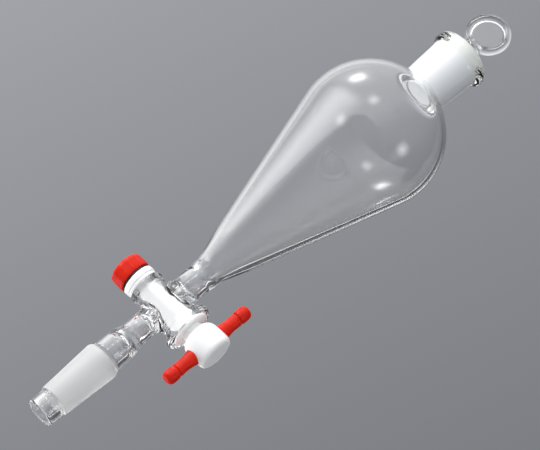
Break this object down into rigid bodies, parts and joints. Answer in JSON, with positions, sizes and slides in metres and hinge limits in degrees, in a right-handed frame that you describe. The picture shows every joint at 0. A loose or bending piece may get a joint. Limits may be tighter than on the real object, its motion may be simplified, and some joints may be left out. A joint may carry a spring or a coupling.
{
  "type": "separatory funnel",
  "caption": "Pear-shaped glass separating funnel with a ground stopper socket, a turning PTFE tap with a red crossbar and nut, and a ground lower cone.",
  "frame": {"origin": "on the funnel's axis, at the wide end of the lower ground cone, which is where its 15 mm diameter is gauged", "axes": "+Z along the funnel's axis towards the stopper; +X along the tap's axis towards the handle; the funnel stands as it does when its lower cone sits in a flask"},
  "size_m": [0.0566, 0.0566, 0.2381],
  "materials": {
    "borosilicate_glass": "clear, fire polished, ground matt white at the joints",
    "white_ptfe": "turned, waxy satin",
    "red_plastic": "moulded, semi-gloss",
    "black_rubber": "moulded, matt"
  },
  "bodies": {
    "glass": {"top_socket": "borosilicate_glass", "bulb": "borosilicate_glass", "upper_arm": "borosilicate_glass", "tap_barrel": "borosilicate_glass", "lower_arm": "borosilicate_glass", "cone_joint": "borosilicate_glass"},
    "stopper": {"stopper": "borosilicate_glass"},
    "plug": {"plug": "white_ptfe", "t_bar": "red_plastic"},
    "seals": {"washer": "white_ptfe", "o_ring": "black_rubber"},
    "nut": {"nut": "red_plastic"}
  },
  "joints": [
    {"name": "stopper_lift", "type": "slide", "parent": "glass", "child": "stopper", "axis": [0, 0, 1], "range_m": [0, 0.045]},
    {"name": "plug_turn", "type": "hinge", "parent": "glass", "child": "plug", "pos_m": [0, 0, 0.0316], "axis": [1, 0, 0], "continuous": true},
    {"name": "nut_travel", "type": "slide", "parent": "plug", "child": "seals", "axis": [-1, 0, 0], "range_m": [0, 0.0045]},
    {"name": "nut_turn", "type": "hinge", "parent": "seals", "child": "nut", "pos_m": [-0.0187, 0, 0.0316], "axis": [-1, 0, 0], "range_deg": [0, 1080]}
  ],
  "couplings": [
    {"joint": "nut_travel", "follows": "nut_turn", "m_per_rad": 0.00023873}
  ]
}
